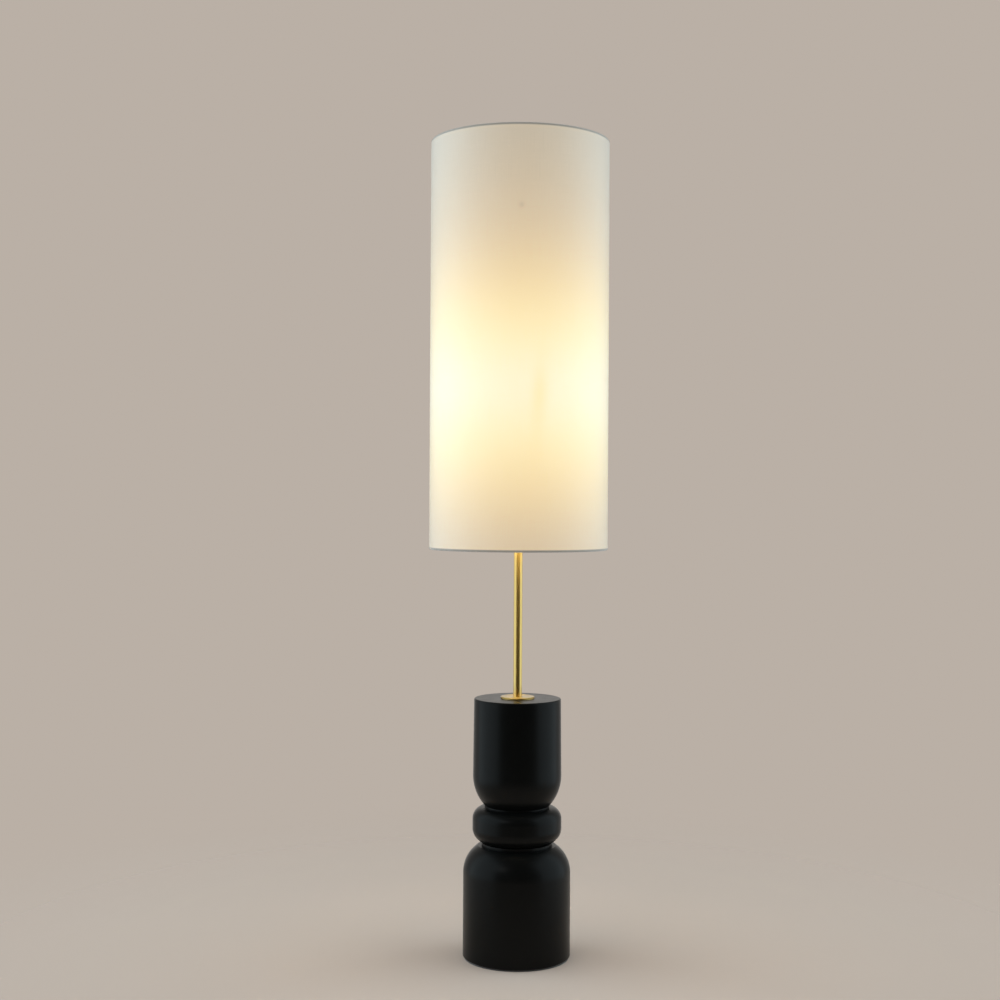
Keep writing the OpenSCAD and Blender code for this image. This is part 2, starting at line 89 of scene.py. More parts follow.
class Value:
    """One output of a node. The operators on it add Math nodes to its tree."""

    def __init__(self, tree, socket):
        self.tree = tree
        self.socket = socket

    def out(self, name):
        return Value(self.tree, self.socket.node.outputs[name])

    def math(self, operation, *others):
        sockets = dict(enumerate((self, *others)))
        return put(self.tree, "ShaderNodeMath", {"operation": operation}, sockets)

    def __add__(self, other):
        return self.math("ADD", other)

    __radd__ = __add__

    def __sub__(self, other):
        return self.math("SUBTRACT", other)

    def __rsub__(self, other):
        return self.math("MULTIPLY_ADD", -1.0, other)

    def __mul__(self, other):
        return self.math("MULTIPLY", other)

    __rmul__ = __mul__

    def __truediv__(self, other):
        return self.math("DIVIDE", other)

    def __rtruediv__(self, other):
        return self.math("POWER", -1.0) * other

    def __pow__(self, other):
        return self.math("POWER", other)

    def __abs__(self):
        return self.math("ABSOLUTE")

    def sin(self):
        return self.math("SINE")

    def exp(self):
        return self.math("EXPONENT")

    def over(self, limit):
        return self.math("GREATER_THAN", limit)

    def ramp(self, low, high, start=0.0, end=1.0):
        """A soft step from start at low to end at high."""
        sockets = {0: self, 1: low, 2: high, 3: start, 4: end}
        settings = {"interpolation_type": "SMOOTHSTEP"}
        return put(self.tree, "ShaderNodeMapRange", settings, sockets)

    def bell(self, middle, width):
        """1 at the middle, and down to 0.37 at a width from it."""
        far = (self - middle) / width
        return (far * far * -1.0).exp()


def put(tree, kind, settings=None, sockets=None, out=0):
    """Adds a node: first its settings, then the values or links of its sockets."""
    node = tree.nodes.new(kind)
    for key, value in (settings or {}).items():
        setattr(node, key, value)
    for key, value in (sockets or {}).items():
        if isinstance(value, Value):
            tree.links.new(value.socket, node.inputs[key])
        elif value is not None:
            node.inputs[key].default_value = value
    return Value(tree, node.outputs[out]) if len(node.outputs) else node


def place_of(tree):
    """The point's place on the lamp."""
    return put(tree, "ShaderNodeTexCoord").out("Object")


def split(vector):
    """The three numbers of a vector."""
    parts = put(vector.tree, "ShaderNodeSeparateXYZ", {}, {0: vector})
    return parts, parts.out("Y"), parts.out("Z")


def join(tree, x, y, z):
    return put(tree, "ShaderNodeCombineXYZ", {}, {0: x, 1: y, 2: z})


def height_of(where):
    """How high a point lies above the floor."""
    return split(where)[2]


def from_axis(where):
    """How far a point lies from the upright axis of the lamp."""
    x, y, _ = split(where)
    return (x * x + y * y) ** 0.5


def round_marks(where, scale, detail, rough):
    """Noise that runs round the lamp in rings, as a lathe leaves it."""
    ring = join(where.tree, from_axis(where), 0.0, height_of(where))
    return noise(ring, scale, detail, rough)


def noise(where, scale, detail=2.0, rough=0.5, stretch=None):
    """Cloudy noise from 0 to 1, stretched along an axis if asked."""
    if stretch:
        settings = {"operation": "MULTIPLY"}
        where = put(where.tree, "ShaderNodeVectorMath", settings, {0: where, 1: stretch})
    sockets = {"Vector": where, "Scale": scale, "Detail": detail, "Roughness": rough}
    return put(where.tree, "ShaderNodeTexNoise", {}, sockets)


def blend(share, first, second, way="MIX"):
    """Mixes two colours."""
    tree = next(v.tree for v in (share, first, second) if isinstance(v, Value))
    settings = {"data_type": "RGBA", "blend_type": way}
    return put(tree, "ShaderNodeMix", settings, {0: share, 6: first, 7: second}, 2)


def shade_of(colour, level):
    """A colour made lighter or darker by a level."""
    settings = {"operation": "SCALE"}
    return put(level.tree, "ShaderNodeVectorMath", settings, {0: colour, 3: level})


def bump(height, depth, strength=1.0, below=None):
    sockets = {"Strength": strength, "Distance": depth, "Height": height, "Normal": below}
    return put(height.tree, "ShaderNodeBump", {}, sockets)


def rgb(red, green, blue):
    return (red, green, blue, 1.0)


def new_finish(name):
    """An empty material and its tree."""
    finish = bpy.data.materials.new(name)
    finish.use_nodes = True
    finish.node_tree.nodes.clear()
    return finish, finish.node_tree


def coat(finish, sockets):
    """Ends a material in one Principled shader with these sockets."""
    tree = finish.node_tree
    shader = put(tree, "ShaderNodeBsdfPrincipled", {}, sockets)
    put(tree, "ShaderNodeOutputMaterial", {}, {"Surface": shader})
    return finish


# ---- finishes ----


def glow_of(z):
    """Red, green and blue of the light that comes through the shade at a height."""
    reach = SHADE_R * SHADE_R
    up = z - GLOW_Z
    direct = (reach / (up * up + reach)) ** 1.5
    stray = z.ramp(0.76, 0.96, 0.004, 0.026)
    light = direct + stray
    red = (1.0 - (light * -4.6).exp()) * 0.70
    green = (1.0 - (light * -2.6).exp()) * 0.60
    blue = light ** 1.3 * 0.29
    return put(z.tree, "ShaderNodeCombineColor", {}, {0: red, 1: green, 2: blue})


def linen_finish(name, through):
    """Natural linen, lit from behind: a share of the glow comes through its layers."""
    finish, tree = new_finish(name)
    where = place_of(tree)
    z = height_of(where)
    cut = put(tree, "ShaderNodeUVMap", {"uv_map": "UVMap"})
    across, along, _ = split(cut)
    warp = (across * (math.pi / THREAD_PITCH)).sin()
    weft = (along * (math.pi / THREAD_PITCH)).sin()
    on_top = (warp * weft).over(0.0)
    weave = abs(warp) * on_top + abs(weft) * (1.0 - on_top)
    streak = noise(cut, 1.0, 3.0, 0.6, (1500.0, 26.0, 0.0))
    cross = noise(cut, 1.0, 3.0, 0.6, (22.0, 1300.0, 0.0))
    thick = noise(cut, 1.0, 1.0, 0.5, (420.0, 9.0, 0.0)).ramp(0.68, 0.80)
    speck = across.bell(SPECK_ACROSS, 0.0040) * along.bell(SPECK_UP, 0.0046)
    # Outside the wall mask the linen takes the darker edge colour, painted shade, and gives
    # no glow.
    above_fold = z.ramp(SHADE_LOW + FOLD_DARK, SHADE_LOW + FOLD_LIT)
    below_fold = z.ramp(SHADE_TOP - FOLD_LIT, SHADE_TOP - FOLD_DARK, 1.0, 0.0)
    wall = above_fold * below_fold
    # A painted brighter band of glow lies just inside each folded edge.
    bright_band = z.bell(SHADE_LOW + BRIGHT_BAND_FROM_EDGE, 0.0014) + z.bell(SHADE_TOP - BRIGHT_BAND_FROM_EDGE, 0.0014)
    threads = 0.935 + 0.08 * weave + 0.09 * (streak - 0.5) + 0.07 * (cross - 0.5)
    level = threads * (1.0 - thick * 0.025) * (1.0 - speck * 0.10)
    base = shade_of(blend(wall, SHADED_EDGE_LINEN, LINEN), level)
    # The harp leg's shadow is painted into the glow: a soft leaning stripe at the front and
    # one at the back, deepest near the bulb's height.
    front = across - (LEG_FRONT + LEG_LEAN * (z - LEG_Z))
    rear = across + math.pi * SHADE_R - LEG_REAR
    core, haze = z.bell(0.822, 0.032), z.bell(0.80, 0.10)
    depth = core * 0.26 + haze * 0.17
    leg_shadow_mask = (front.bell(0.0, LEG_BLUR) + rear.bell(0.0, LEG_BLUR)) * depth
    cloud = noise(where, 7.0, 2.0) - 0.5
    shine = wall * (1.0 - speck * 0.15) * (1.0 + cloud * 0.05)
    shine = shine * (0.952 + 0.11 * (streak - 0.5) + 0.08 * (cross - 0.5) + 0.05 * weave)
    shine = shine * (1.0 - thick * 0.06) * (1.0 + bright_band * 0.14) * through
    shadow = blend(leg_shadow_mask, rgb(1.0, 1.0, 1.0), LEG_SHADOW)
    glow = shade_of(blend(1.0, glow_of(z), shadow, "MULTIPLY"), shine)
    height = weave + 0.7 * streak + 0.5 * cross + thick
    return coat(finish, {
        "Base Color": base,
        "Roughness": 0.9 - 0.1 * weave,
        "Normal": bump(height, 0.00012, 0.5),
        "Specular IOR Level": 0.25,
        "Sheen Weight": 0.9,
        "Sheen Roughness": 0.45,
        "Sheen Tint": rgb(0.96, 0.98, 1.0),
        "Emission Color": glow,
        "Emission Strength": 1.0,
    })


def liner_finish():
    finish, tree = new_finish("stiff_white_liner")
    where = place_of(tree)
    grain = noise(where, 900.0, 2.0)
    mottle = noise(where, 30.0, 3.0)
    base = shade_of((0.84, 0.825, 0.79), 0.96 + 0.05 * mottle + 0.02 * grain)
    # The liner's glow is painted light: emission that stands in for the bulb's light falling
    # on its inside.
    glow = shade_of(glow_of(height_of(where)), 0.25 + 0.03 * mottle)
    return coat(finish, {
        "Base Color": base,
        "Roughness": 0.42 + 0.12 * grain,
        "Normal": bump(grain + mottle, 0.00008, 0.4),
        "Emission Color": glow,
        "Emission Strength": 1.0,
    })


def black_finish():
    """Satin black lacquer, sprayed over turned wood."""
    finish, tree = new_finish("satin_black_lacquer")
    where = place_of(tree)
    peel = noise(where, 1300.0, 2.0, 0.5)
    flow = noise(where, 60.0, 3.0, 0.5)
    turned = round_marks(where, 500.0, 2.0, 0.6)
    dust = noise(where, 2600.0, 0.0).ramp(0.80, 0.86)
    level = 0.9 + 0.25 * flow + 0.5 * dust
    return coat(finish, {
        "Base Color": shade_of((0.0036, 0.0039, 0.0038), level),
        "Roughness": 0.25 + 0.08 * flow + 0.05 * turned,
        "Normal": bump(peel + 0.6 * turned + 0.8 * dust, 0.00002, 0.35),
        "Specular IOR Level": 0.12,
    })


def brass_finish(name, rough=0.20, lacquer=0.35, shaded_level=1.0):
    """Brass brushed on the lathe, under clear lacquer. Its fine lines run round."""
    finish, tree = new_finish(name)
    where = place_of(tree)
    hair = round_marks(where, 5200.0, 4.0, 0.7)
    broad = round_marks(where, 1100.0, 3.0, 0.6)
    tone = noise(where, 22.0, 3.0, 0.6)
    spot = noise(where, 340.0, 2.0, 0.7).ramp(0.70, 0.80)
    base = blend(tone, rgb(0.80, 0.55, 0.15), rgb(0.90, 0.65, 0.23))
    # A level below 1 darkens this copy of the brass, as painted shade.
    base = shade_of(base, (0.90 + 0.16 * hair) * (1.0 - spot * 0.08) * shaded_level)
    return coat(finish, {
        "Base Color": base,
        "Metallic": 1.0,
        "Roughness": rough + 0.14 * hair + 0.06 * broad + 0.08 * spot,
        "Normal": bump(hair + 0.5 * broad, 0.00001, 0.5),
        "Anisotropic": 0.85,
        "Anisotropic Rotation": 0.25,
        "Coat Weight": lacquer,
        "Coat Roughness": 0.12,
    })


def metal_finish(name, low, high, rough, scale=160.0, depth=0.00002, coat_weight=0.0):
    """Plated or plain metal with faint clouds, pits and handling marks."""
    finish, tree = new_finish(name)
    where = place_of(tree)
    cloud = noise(where, scale, 4.0, 0.6)
    fine = noise(where, scale * 16.0, 2.0, 0.6)
    pit = noise(where, scale * 5.0, 1.0).ramp(0.70, 0.78)
    line = noise(where, 1.0, 2.0, 0.5, (scale * 2.0, scale * 22.0, scale * 2.0))
    base = shade_of(blend(cloud, rgb(*low), rgb(*high)), 1.0 - 0.25 * pit)
    return coat(finish, {
        "Base Color": base,
        "Metallic": 1.0,
        "Roughness": rough + 0.14 * (cloud - 0.5) + 0.08 * fine + 0.06 * line,
        "Normal": bump(fine + 0.4 * line - pit, depth, 0.5),
        "Coat Weight": coat_weight,
    })


def moulded_finish(name, low, high, rough, scale=500.0, depth=0.00003, metallic=0.0,
                   sheen=0.0, clear=0.0):
    """Moulded, pressed or painted surface with mottle and a fine texture."""
    finish, tree = new_finish(name)
    where = place_of(tree)
    mottle = noise(where, scale * 0.12, 4.0, 0.6)
    fine = noise(where, scale * 3.0, 3.0, 0.6)
    fleck = noise(where, scale, 2.0, 0.7).ramp(0.62, 0.74)
    base = blend(mottle, rgb(*low), rgb(*high))
    base = blend(fleck * 0.35, base, rgb(*[c * 1.5 for c in high]))
    return coat(finish, {
        "Base Color": base,
        "Metallic": metallic,
        "Roughness": rough + 0.12 * (fine - 0.5) + 0.06 * mottle,
        "Normal": bump(fine + fleck * 0.5, depth, 0.6),
        "Sheen Weight": sheen,
        "Coat Weight": clear,
        "Coat Roughness": 0.2,
    })


def felt_finish():
    finish, tree = new_finish("pressed_felt")
    where = place_of(tree)
    fibre = noise(where, 1.0, 4.0, 0.75, (1400.0, 500.0, 900.0))
    other = noise(where, 1.0, 4.0, 0.75, (450.0, 1500.0, 900.0))
    fluff = noise(where, 90.0, 3.0, 0.6)
    level = 0.55 + 0.6 * fibre.math("MAXIMUM", other) + 0.3 * fluff
    return coat(finish, {
        "Base Color": shade_of((0.035, 0.035, 0.037), level),
        "Roughness": 0.92 + 0.06 * fibre,
        "Normal": bump(fibre + other + fluff, 0.0003, 0.8),
        "Sheen Weight": 0.5,
        "Sheen Roughness": 0.6,
    })


def iron_finish():
    """Sand-cast iron under thin grey paint."""
    finish, tree = new_finish("cast_iron")
    where = place_of(tree)
    sand = noise(where, 520.0, 4.0, 0.75)
    lump = noise(where, 60.0, 3.0, 0.6)
    bare = noise(where, 140.0, 3.0, 0.7).ramp(0.60, 0.68)
    base = blend(lump, rgb(0.075, 0.076, 0.080), rgb(0.125, 0.125, 0.128))
    base = blend(bare * 0.6, base, rgb(0.11, 0.065, 0.04))
    return coat(finish, {
        "Base Color": base,
        "Metallic": 0.35 - 0.3 * bare,
        "Roughness": 0.58 + 0.2 * sand + 0.1 * bare,
        "Normal": bump(sand + lump, 0.0004, 0.7),
    })


def bulb_glass_finish():
    """Opal glass, lit: evenly bright, a little dimmer by the neck."""
    finish, tree = new_finish("opal_glass_lit")
    where = place_of(tree)
    cloud = noise(where, 60.0, 2.0)
    neck = height_of(where).ramp(BULB_Z - 0.052, BULB_Z - 0.012, 0.35, 1.0)
    level = neck * (0.95 + 0.1 * cloud)
    base = shade_of((0.93, 0.91, 0.86), 0.97 + 0.05 * cloud)
    return coat(finish, {
        "Base Color": base,
        "Roughness": 0.12 + 0.06 * cloud,
        "Normal": bump(cloud, 0.00005, 0.3),
        "Emission Color": shade_of((1.0, 0.87, 0.68), level),
        "Emission Strength": 18.0,
    })


def strip_finish():
    finish, tree = new_finish("light_strip")
    dots = abs((height_of(place_of(tree)) * (math.pi / DOT_PITCH)).sin())
    return coat(finish, {
        "Base Color": shade_of((0.95, 0.75, 0.25), 0.8 + 0.2 * dots),
        "Roughness": 0.4 + 0.2 * dots,
        "Emission Color": shade_of((1.0, 0.80, 0.45), 0.5 + 0.5 * dots),
        "Emission Strength": 12.0,
    })


# ---- forms that a Geometry Nodes tree makes ----


def form_tree(name, sizes):
    """A new tree with a geometry, named sizes and a material going in."""
    tree = bpy.data.node_groups.new(name, "GeometryNodeTree")
    face = tree.interface
    face.new_socket("Geometry", in_out="INPUT", socket_type="NodeSocketGeometry")
    for label, kind in sizes.items():
        face.new_socket(label, in_out="INPUT", socket_type=kind)
    face.new_socket("Finish", in_out="INPUT", socket_type="NodeSocketMaterial")
    face.new_socket("Geometry", in_out="OUTPUT", socket_type="NodeSocketGeometry")
    entry = tree.nodes.new("NodeGroupInput")
    return tree, {s.name: Value(tree, s) for s in entry.outputs if s.name}


def end_tree(tree, body, given):
    """Shades a form smooth up to its sharp edges, and gives it its finish."""
    smooth = {"Geometry": body, "Shade Smooth": True}
    body = put(tree, "GeometryNodeSetShadeSmooth", {"domain": "FACE"}, smooth)
    angle = put(tree, "GeometryNodeInputMeshEdgeAngle")
    sharp = {"Geometry": body, "Selection": angle.over(SHARP_EDGE), "Shade Smooth": False}
    body = put(tree, "GeometryNodeSetShadeSmooth", {"domain": "EDGE"}, sharp)
    body = put(tree, "GeometryNodeRealizeInstances", {}, {"Geometry": body})
    painted = {"Geometry": body, "Material": given["Finish"]}
    body = put(tree, "GeometryNodeSetMaterial", {}, painted)
    put(tree, "NodeGroupOutput", {}, {0: body})
    return tree


def turned_tree():
    """Turns a half profile round the lamp's axis, with a screw thread if asked."""
    number, size = "NodeSocketInt", "NodeSocketFloat"
    tree, given = form_tree("turned_form", {
        "Steps": number, "Cloth Radius": size, "Thread Pitch": size,
        "Thread Depth": size, "Thread Low": size, "Thread High": size,
        "Unevenness": size,
    })
    count = put(tree, "GeometryNodeAttributeDomainSize", {"component": "MESH"},
                {"Geometry": given["Geometry"]}, "Point Count")
    rows = given["Steps"] + 1.0
    sockets = {"Size X": 1.0, "Size Y": 1.0, "Vertices X": count, "Vertices Y": rows}
    grid = put(tree, "GeometryNodeMeshGrid", {}, sockets)
    index = put(tree, "GeometryNodeInputIndex")
    row = (index / rows + ROUNDING).math("FLOOR")
    settings = {"data_type": "FLOAT_VECTOR", "domain": "POINT"}
    sockets = {"Geometry": given["Geometry"], "Index": row,
               "Value": put(tree, "GeometryNodeInputPosition")}
    radius, _, height = split(put(tree, "GeometryNodeSampleIndex", settings, sockets))
    turn = (index - row * rows) * (2 * math.pi) / given["Steps"] + SEAM_TURN
    inside = height.over(given["Thread Low"]) * (1.0 - height.over(given["Thread High"]))
    phase = height * (2 * math.pi) / given["Thread Pitch"] - turn
    wide = radius + phase.sin() * given["Thread Depth"] * inside
    level = join(tree, turn.math("COSINE"), turn.sin(), height * 8.0)
    wave = put(tree, "ShaderNodeTexNoise", {}, {"Vector": level, "Scale": 1.7}) - 0.5
    wide = wide + wave * given["Unevenness"]
    spot = join(tree, turn.math("COSINE") * wide, turn.sin() * wide, height)
    body = put(tree, "GeometryNodeSetPosition", {}, {"Geometry": grid, "Position": spot})
    _, share, _ = split(grid.out("UV Map"))
    up = height_of(put(tree, "GeometryNodeInputPosition"))
    cut = join(tree, (share - 0.5) * (2 * math.pi) * given["Cloth Radius"], up, 0.0)
    settings = {"data_type": "FLOAT2", "domain": "CORNER"}
    sockets = {"Geometry": body, "Name": "UVMap", "Value": cut}
    body = put(tree, "GeometryNodeStoreNamedAttribute", settings, sockets)
    sockets = {"Geometry": body, "Distance": MERGE}
    body = put(tree, "GeometryNodeMergeByDistance", {}, sockets)
    return end_tree(tree, body, given)


def line_mesh(name, points):
    """A profile or a path as points joined one after another."""
    mesh = bpy.data.meshes.new(name)
    mesh.from_pydata(points, [(i, i + 1) for i in range(len(points) - 1)], [])
    return mesh


def grow(name, tree, start, sizes, finish):
    """Runs a tree on a start mesh, and keeps the result as a plain piece."""
    piece = bpy.data.objects.new(name, start)
    bpy.context.scene.collection.objects.link(piece)
    form = piece.modifiers.new("form", "NODES")
    form.node_group = tree
    for item in tree.interface.items_tree:
        if item.in_out == "INPUT" and item.name in sizes:
            form[item.identifier] = sizes[item.name]
        elif item.in_out == "INPUT" and item.name == "Finish":
            form[item.identifier] = finish
    made = piece.evaluated_get(bpy.context.evaluated_depsgraph_get())
    mesh = bpy.data.meshes.new_from_object(made)
    piece.modifiers.clear()
    piece.data = mesh
    mesh.name = name
    face_outwards(mesh)
    return piece


def face_outwards(mesh):
    work = bmesh.new()
    work.from_mesh(mesh)
    bmesh.ops.recalc_face_normals(work, faces=work.faces)
    work.to_mesh(mesh)
    work.free()


def arc(centre_r, centre_z, radius, start, end, count):
    """Points of a profile's round, angles in degrees from straight out."""
    points = []
    for i in range(count + 1):
        a = math.radians(start + (end - start) * i / count)
        points.append((centre_r + radius * math.cos(a), 0, centre_z + radius * math.sin(a)))
    return points


def rows(low, high, count):
    """Heights from low to high, both included."""
    return [low + (high - low) * i / count for i in range(count + 1)]


TURNED = turned_tree()


def turn(name, profile, finish, steps=160, thread=None, cloth_r=0.0, uneven=0.0):
    low, high, pitch, depth = thread or (0.0, 0.0, 1.0, 0.0)
    sizes = {
        "Steps": steps, "Cloth Radius": cloth_r, "Thread Pitch": pitch,
        "Thread Depth": depth, "Thread Low": low, "Thread High": high,
        "Unevenness": uneven,
    }
    return grow(name, TURNED, line_mesh(name, profile), sizes, finish)


# ---- the shade ----


def tucked_end(face, edge, side):
    """The linen's end behind a ring: along its inner face, and back along the other."""
    lie = ((0.0, 0.003), (0.0007, 0.006), (0.0009, TUCK))
    inner = [(face + lean, 0, edge - side * deep) for lean, deep in lie]
    outer = [(r + CLOTH, 0, z) for r, _, z in reversed(inner)]
    return inner + outer


def linen_profile():
    """The linen's wall with both edges rolled round the rings and tucked in."""
    roll = WIRE_R + 0.00008
    outer = roll + CLOTH
    inner_face = RING_R - roll - CLOTH
    low, top = SHADE_LOW + outer, SHADE_TOP - outer
    bend = SHADE_R - outer
    points = [(SHADE_R, 0, z) for z in rows(low, top, 60)]
    points += arc(bend, top, outer, 0, 90, 6)[1:]
    points += arc(RING_R, top, outer, 90, 180, 8)
    points += tucked_end(inner_face, top, 1)
    points += arc(RING_R, top, roll, 180, 90, 6)
    points += [(RING_R + 0.001, 0, top + roll), (SHADE_R - CLOTH, 0, top - 0.0004)]
    points += [(SHADE_R - CLOTH, 0, z) for z in rows(top - 0.002, low + 0.002, 4)]
    points += [(SHADE_R - CLOTH, 0, low + 0.0004), (RING_R + 0.001, 0, low - roll)]
    points += arc(RING_R, low, roll, -90, -180, 6)
    points += reversed(tucked_end(inner_face, low, -1))
    points += arc(RING_R, low, outer, -180, -90, 8)
    points += arc(bend, low, outer, -90, 0, 6)
    return points


def dress_shade():
    linen = linen_finish("linen_lit_from_inside", 1.0)
    cloth = turn("shade_linen", linen_profile(), linen, 256, None, SHADE_R, 0.00018)
    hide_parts("shade_fabric")
    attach(cloth, "shade")
    lap = lap_piece("linen_overlap", linen_finish("linen_double_layer", 0.80))
    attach(lap, "shade")
    return cloth


def lap_piece(name, finish):
    """The strip where the linen's end is glued over its beginning, at the back."""
    half, thick, bevel = 0.0055, 0.00055, 0.0006
    low, top = SHADE_LOW + 0.0026, SHADE_TOP - 0.0026
    columns, heights = 8, rows(low, top, 60)
    work = bmesh.new()
    grid = []
    for i in range(columns + 1):
        side = -half + 2 * half * i / columns
        edge = min(1.0, (half - abs(side)) / bevel)
        column = []
        for z in heights:
            wave = 0.00012 * math.sin(z * 61 + side * 900) * math.sin(z * 17)
            a = SEAM_TURN + (side + wave) / SHADE_R
            r = SHADE_R + 0.00012 + thick * (0.35 + 0.65 * edge)
            top_v = work.verts.new((r * math.cos(a), r * math.sin(a), z))
            r = SHADE_R - 0.0002
            low_v = work.verts.new((r * math.cos(a), r * math.sin(a), z))
            column.append((top_v, low_v))
        grid.append(column)
    for i in range(columns):
        for k in range(len(heights) - 1):
            a, b, c, d = grid[i][k], grid[i + 1][k], grid[i + 1][k + 1], grid[i][k + 1]
            work.faces.new((a[0], b[0], c[0], d[0]))
            work.faces.new((d[1], c[1], b[1], a[1]))
    for column in (grid[0], grid[-1]):
        for k in range(len(heights) - 1):
            a, b = column[k], column[k + 1]
            work.faces.new((a[0], b[0], b[1], a[1]))
    for k in (0, -1):
        for i in range(columns):
            a, b = grid[i][k], grid[i + 1][k]
            work.faces.new((a[0], b[0], b[1], a[1]))
    bmesh.ops.recalc_face_normals(work, faces=work.faces)
    layer = work.loops.layers.uv.new("UVMap")
    for face in work.faces:
        face.smooth = True
        for corner in face.loops:
            x, y, z = corner.vert.co
            corner[layer].uv = (SHADE_R * (math.atan2(y, x) - SEAM_TURN) + LAP_SHIFT, z)
    mesh = bpy.data.meshes.new(name)
    work.to_mesh(mesh)
    work.free()
    mesh.materials.append(finish)
    piece = bpy.data.objects.new(name, mesh)
    bpy.context.scene.collection.objects.link(piece)
    return piece


# ---- the bulb ----


def dress_bulb():
    """The rolled screw thread on the bulb's base."""
    low, top = 0.7624, 0.7830
    r, wall, rim_r, rim = SCREW_R, 0.0018, 0.0141, 0.0004
    plate = metal_finish("nickel_plated_shell", (0.62, 0.60, 0.57), (0.76, 0.74, 0.71), 0.22)
    points = [(r - wall, 0, low), (r - 0.0010, 0, low), (r - 0.0007, 0, low + 0.0006)]
    points += [(r - 0.00055, 0, z) for z in rows(low + 0.0012, low + 0.0160, 60)]
    points += [(r - 0.0003, 0, low + 0.0172), (0.0140, 0, top - 0.0014)]
    points += arc(rim_r, top - 2 * rim, rim, -60, 90, 5)
    points += [(r - wall, 0, top - rim), (r - wall, 0, low)]
    thread = (low + 0.0014, low + 0.0158, SCREW_PITCH, SCREW_DEPTH)
    shell = turn("bulb_screw_shell", points, plate, 96, thread)
    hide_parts("bulb_base")
    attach(shell, "bulb")


# ---- finishes of the pieces that keep their solid ----


def dress_hardware():
    black = black_finish()
    brass = brass_finish("brushed_brass")
    # The flange takes a rougher copy of the brass whose colour is set 8% darker: painted
    # shade that tones down its bright reflection of the lit shade above.
    flat_brass = brass_finish("brushed_brass_flange", 0.46, 0.5, 0.92)
    wire = metal_finish("plated_wire", (0.66, 0.49, 0.22), (0.80, 0.62, 0.32), 0.24)
    zinc = metal_finish("zinc_plate", (0.52, 0.53, 0.55), (0.70, 0.70, 0.68), 0.34, 220.0)
    nickel = metal_finish("nickel_plate", (0.62, 0.60, 0.57), (0.76, 0.74, 0.71), 0.20)
    white = moulded_finish("white_powder_coat", (0.80, 0.80, 0.78), (0.86, 0.86, 0.84),
                           0.40, 500.0, 0.00002, clear=0.1)
    rubber = moulded_finish("moulded_rubber", (0.018, 0.018, 0.018), (0.028, 0.028, 0.028),
                            0.62, 700.0, 0.00006)
    fibre = moulded_finish("pressed_fibre", (0.34, 0.20, 0.095), (0.48, 0.30, 0.15),
                           0.66, 600.0, 0.00010)
    phenolic = moulded_finish("moulded_switch_body", (0.70, 0.67, 0.58), (0.78, 0.75, 0.67),
                              0.36, 300.0, 0.00003)
    knob = moulded_finish("black_knob", (0.012, 0.012, 0.012), (0.018, 0.018, 0.018),
                          0.22, 500.0, 0.00002, clear=0.4)
    dark_glass = moulded_finish("black_glass", (0.012, 0.012, 0.016), (0.022, 0.022, 0.026),
                                0.10, 200.0, 0.00001, clear=0.6)
    clear = moulded_finish("clear_glass_stem", (0.80, 0.82, 0.82), (0.88, 0.90, 0.90),
                           0.08, 120.0, 0.00001)
    finish_of = {
        "lower_drum": black, "middle_ring": black, "upper_drum": black,
        "pole_tube": brass, "top_flange": flat_brass, "finial": brass,
        "harp": wire, "harp_stud": wire, "sleeve_front": wire, "sleeve_back": wire,
        "harp_saddle": wire, "socket_cap": brass, "socket_shell": brass,
        "cap_screw": zinc, "terminal_screws": brass, "screw_shell": brass,
        "centre_contact": brass, "switch_shaft": nickel, "threaded_rod": zinc,
        "bottom_nut": zinc, "bottom_washer": zinc, "lock_washer": zinc,
        "base_cover": zinc, "cover_screws": nickel, "counterweight": iron_finish(),
        "felt_ring": felt_finish(), "cord_bushing": rubber, "socket_sleeve": fibre,
        "switch_body": phenolic, "switch_knob": knob, "bulb_glass": bulb_glass_finish(),
        "bulb_insulator": dark_glass, "bulb_contact": nickel, "bulb_stem": clear,
        "bulb_filaments": strip_finish(), "shade_hub": white, "shade_arms": white,
        "top_ring": white, "bottom_ring": white,
        "shade_liner": liner_finish(),
    }
    for name, finish in finish_of.items():
        mesh = cad[name].data
        mesh.materials.clear()
        mesh.materials.append(finish)


# ---- floor, light and camera ----

PALE = (0.492, 0.433, 0.380)
COOL = (0.72, 0.90, 1.0)
COOLER = (0.50, 0.86, 1.0)
NEUTRAL = (1.0, 1.0, 1.0)
WARM = (1.0, 0.84, 0.50)
FLOOR_R = 4.0
FLOOR_SOLID = 0.26
FLOOR_GONE = 1.2

# Each lamp: its place, the point it faces, its size, its watts, its colour,
# and whether shiny pieces mirror it.
LAMPS = {
    "left_panel": ((-2.2, -0.30, 1.1), (0, -0.1, 0.75), (3.4, 3.4), 34.0, COOL, True),
    "right_panel": ((2.2, -0.05, 1.1), (0, 0.1, 0.75), (3.2, 3.4), 31.0, COOL, True),
    "left_fill": ((-2.2, 0.5, 1.1), (0, 0, 0.75), (2.0, 3.0), 13.0, COOLER, False),
    "right_fill": ((2.2, 0.6, 1.1), (0, 0, 0.75), (2.0, 3.0), 12.0, COOLER, False),
    "front_lamp": ((-1.5, -2.2, 1.9), (0, 0, 0.5), (0.7, 0.7), 3.0, NEUTRAL, True),
    "shade_mouth": ((0, 0, 0.613), (0, 0, 0.3), (0.17, 0.17), 0.20, WARM, True),
}


